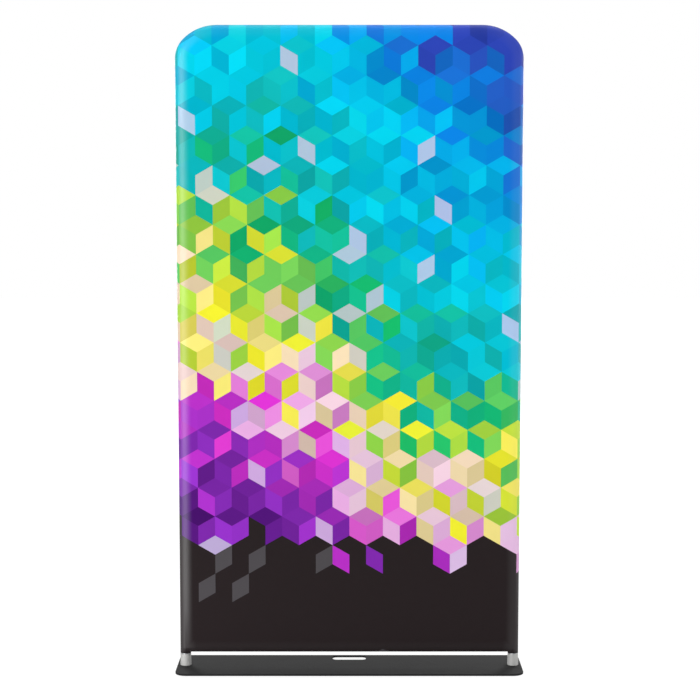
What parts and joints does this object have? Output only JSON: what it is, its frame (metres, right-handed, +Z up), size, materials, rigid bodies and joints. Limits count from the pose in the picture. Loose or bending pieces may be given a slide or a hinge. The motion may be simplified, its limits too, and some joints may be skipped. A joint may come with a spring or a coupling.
{
  "type": "tension fabric banner stand",
  "caption": "Free-standing printed banner: a stretch cover zipped over a round tube frame with bent top corners, lifting off posts on a flat steel base with a hand slot.",
  "frame": {"origin": "middle of the footprint, on the floor", "axes": "+Z up, +X along the banner's width, the printed front faces -Y"},
  "size_m": [1.24, 0.254, 2.289],
  "materials": {
    "powder_coat": "matt powder coat",
    "pad_rubber": "moulded",
    "zinc_steel": "zinc plated",
    "bright_aluminium": "satin anodised",
    "tube_aluminium": "satin anodised",
    "rivet_aluminium": "bright",
    "spring_steel": "tempered strip",
    "button_steel": "nickel plated",
    "printed_cloth": "dye printed stretch polyester",
    "zip_tape_cloth": "woven tape",
    "zip_nylon": "coil",
    "zip_metal": "black lacquer"
  },
  "bodies": {
    "base": {"base_plate": "powder_coat", "floor_pads": "pad_rubber", "left_post": "zinc_steel", "right_post": "zinc_steel", "post_screws": "zinc_steel"},
    "frame": {"left_foot_ferrule": "bright_aluminium", "right_foot_ferrule": "bright_aluminium", "left_lower_tube": "tube_aluminium", "left_upper_tube": "tube_aluminium", "left_top_tube": "tube_aluminium", "right_lower_tube": "tube_aluminium", "right_upper_tube": "tube_aluminium", "right_top_tube": "tube_aluminium", "crossbar": "tube_aluminium", "left_crossbar_stub": "tube_aluminium", "right_crossbar_stub": "tube_aluminium", "left_mid_spigot": "tube_aluminium", "right_mid_spigot": "tube_aluminium", "left_top_spigot": "tube_aluminium", "right_top_spigot": "tube_aluminium", "top_bar_spigot": "tube_aluminium", "spigot_rivets": "rivet_aluminium", "left_mid_spring": "spring_steel", "right_mid_spring": "spring_steel", "left_top_spring": "spring_steel", "right_top_spring": "spring_steel", "top_bar_spring": "spring_steel", "left_crossbar_spring": "spring_steel", "right_crossbar_spring": "spring_steel", "front_panel": "printed_cloth", "rear_panel": "printed_cloth", "zip_tapes": "zip_tape_cloth", "zip_chain": "zip_nylon", "zip_stops": "zip_metal"},
    "left_mid_button": {"left_mid_button": "button_steel"},
    "right_mid_button": {"right_mid_button": "button_steel"},
    "left_top_button": {"left_top_button": "button_steel"},
    "right_top_button": {"right_top_button": "button_steel"},
    "top_bar_button": {"top_bar_button": "button_steel"},
    "left_crossbar_button": {"left_crossbar_button": "button_steel"},
    "right_crossbar_button": {"right_crossbar_button": "button_steel"},
    "zip_slider": {"zip_slider": "zip_metal"},
    "zip_pull": {"zip_pull": "zip_metal"}
  },
  "joints": [
    {"name": "frame_lift", "type": "slide", "parent": "base", "child": "frame", "axis": [0, 0, 1], "range_m": [0, 0.13]},
    {"name": "left_mid_press", "type": "slide", "parent": "frame", "child": "left_mid_button", "axis": [-1, 0, 0], "range_m": [0, 0.0045], "stiffness_N_per_m": 1500, "springref_m": -0.004, "deforming": ["left_mid_spring"]},
    {"name": "right_mid_press", "type": "slide", "parent": "frame", "child": "right_mid_button", "axis": [1, 0, 0], "range_m": [0, 0.0045], "stiffness_N_per_m": 1500, "springref_m": -0.004, "deforming": ["right_mid_spring"]},
    {"name": "left_top_press", "type": "slide", "parent": "frame", "child": "left_top_button", "axis": [-1, 0, 0], "range_m": [0, 0.0045], "stiffness_N_per_m": 1500, "springref_m": -0.004, "deforming": ["left_top_spring"]},
    {"name": "right_top_press", "type": "slide", "parent": "frame", "child": "right_top_button", "axis": [1, 0, 0], "range_m": [0, 0.0045], "stiffness_N_per_m": 1500, "springref_m": -0.004, "deforming": ["right_top_spring"]},
    {"name": "top_bar_press", "type": "slide", "parent": "frame", "child": "top_bar_button", "axis": [0, 0, 1], "range_m": [0, 0.0045], "stiffness_N_per_m": 1500, "springref_m": -0.004, "deforming": ["top_bar_spring"]},
    {"name": "left_crossbar_press", "type": "slide", "parent": "frame", "child": "left_crossbar_button", "axis": [0, 0, -1], "range_m": [0, 0.0045], "stiffness_N_per_m": 1500, "springref_m": -0.004, "deforming": ["left_crossbar_spring"]},
    {"name": "right_crossbar_press", "type": "slide", "parent": "frame", "child": "right_crossbar_button", "axis": [0, 0, -1], "range_m": [0, 0.0045], "stiffness_N_per_m": 1500, "springref_m": -0.004, "deforming": ["right_crossbar_spring"]},
    {"name": "zip_slide", "type": "slide", "parent": "frame", "child": "zip_slider", "axis": [1, 0, 0], "range_m": [0, 1.07], "deforming": ["zip_chain"]},
    {"name": "zip_pull_hinge", "type": "hinge", "parent": "zip_slider", "child": "zip_pull", "pos_m": [-0.5352, 0.0227, 0.125], "axis": [0, 0, 1], "range_deg": [0, 180]}
  ]
}
